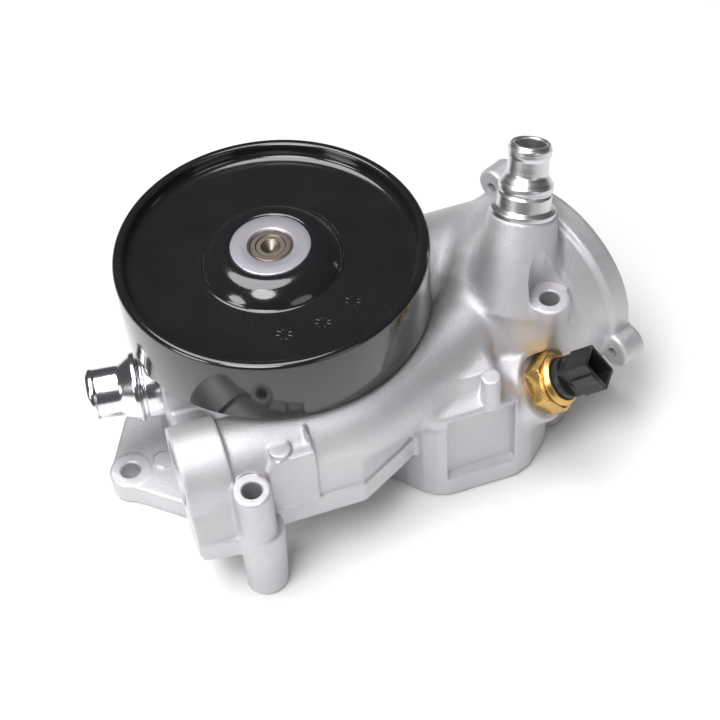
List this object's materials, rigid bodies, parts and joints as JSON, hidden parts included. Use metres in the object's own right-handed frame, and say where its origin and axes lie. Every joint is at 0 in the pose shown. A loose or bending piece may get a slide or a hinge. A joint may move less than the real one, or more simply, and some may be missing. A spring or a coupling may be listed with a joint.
{
  "type": "water pump",
  "caption": "Belt-driven engine coolant pump: cast aluminium housing with dome, pipe, hose spigots and temperature sensor, and a smooth black pulley on a ball and roller bearing",
  "frame": {"origin": "on the rotor axis, in the plane of the engine face", "axes": "+Z along the rotor axis away from the engine; X along the front coolant pipe, +X towards the thermostat dome; -Y is the pipe's side"},
  "size_m": [0.2543, 0.1675, 0.1428],
  "materials": {
    "cast_aluminium": "fine bead-blasted casting",
    "machined_aluminium": "turned, fine feed lines",
    "polished_metal": "bright polished",
    "black_paint": "gloss black stove enamel",
    "ground_steel": "satin ground",
    "bearing_steel": "ground bearing steel",
    "sensor_brass": "turned brass",
    "seal_brass": "pressed brass",
    "washer_copper": "soft copper",
    "connector_plastic": "satin black moulding",
    "terminal_metal": "tin plate",
    "cage_plastic": "glass-filled nylon",
    "impeller_plastic": "glass-filled moulding",
    "seal_rubber": "black sealing rubber",
    "carbon": "lapped carbon",
    "ceramic_grey": "lapped ceramic"
  },
  "bodies": {
    "housing": {"main_housing": "cast_aluminium", "volute_gasket": "seal_rubber", "locating_dowels": "bearing_steel", "port_seal": "seal_rubber", "thermostat_seal": "seal_rubber", "heater_spigot": "machined_aluminium", "return_spigot": "polished_metal", "sensor_body": "sensor_brass", "sensor_washer": "washer_copper", "sensor_connector": "connector_plastic", "sensor_terminals": "terminal_metal", "bearing_outer_race": "bearing_steel", "bearing_seal_front": "seal_rubber", "bearing_seal_rear": "seal_rubber", "seal_cup": "seal_brass", "seal_spring": "bearing_steel", "seal_bellows": "seal_rubber", "carbon_ring": "carbon"},
    "rotor": {"pump_shaft": "bearing_steel", "pulley": "black_paint", "pulley_hub": "ground_steel", "impeller": "impeller_plastic", "seal_mating_ring": "ceramic_grey", "slinger": "impeller_plastic"},
    "ball_set": {"bearing_balls": "bearing_steel", "ball_cage": "cage_plastic"},
    "roller_set": {"bearing_rollers": "bearing_steel", "roller_cage": "cage_plastic"}
  },
  "joints": [
    {"name": "rotor_spin", "type": "hinge", "parent": "housing", "child": "rotor", "pos_m": [0, 0, 0.09], "axis": [0, 0, 1], "continuous": true},
    {"name": "ball_set_spin", "type": "hinge", "parent": "housing", "child": "ball_set", "pos_m": [0, 0, 0.088], "axis": [0, 0, 1], "continuous": true},
    {"name": "roller_set_spin", "type": "hinge", "parent": "housing", "child": "roller_set", "pos_m": [0, 0, 0.062], "axis": [0, 0, 1], "continuous": true}
  ],
  "couplings": [
    {"joint": "ball_set_spin", "follows": "rotor_spin", "ratio": 0.372},
    {"joint": "roller_set_spin", "follows": "rotor_spin", "ratio": 0.384}
  ]
}
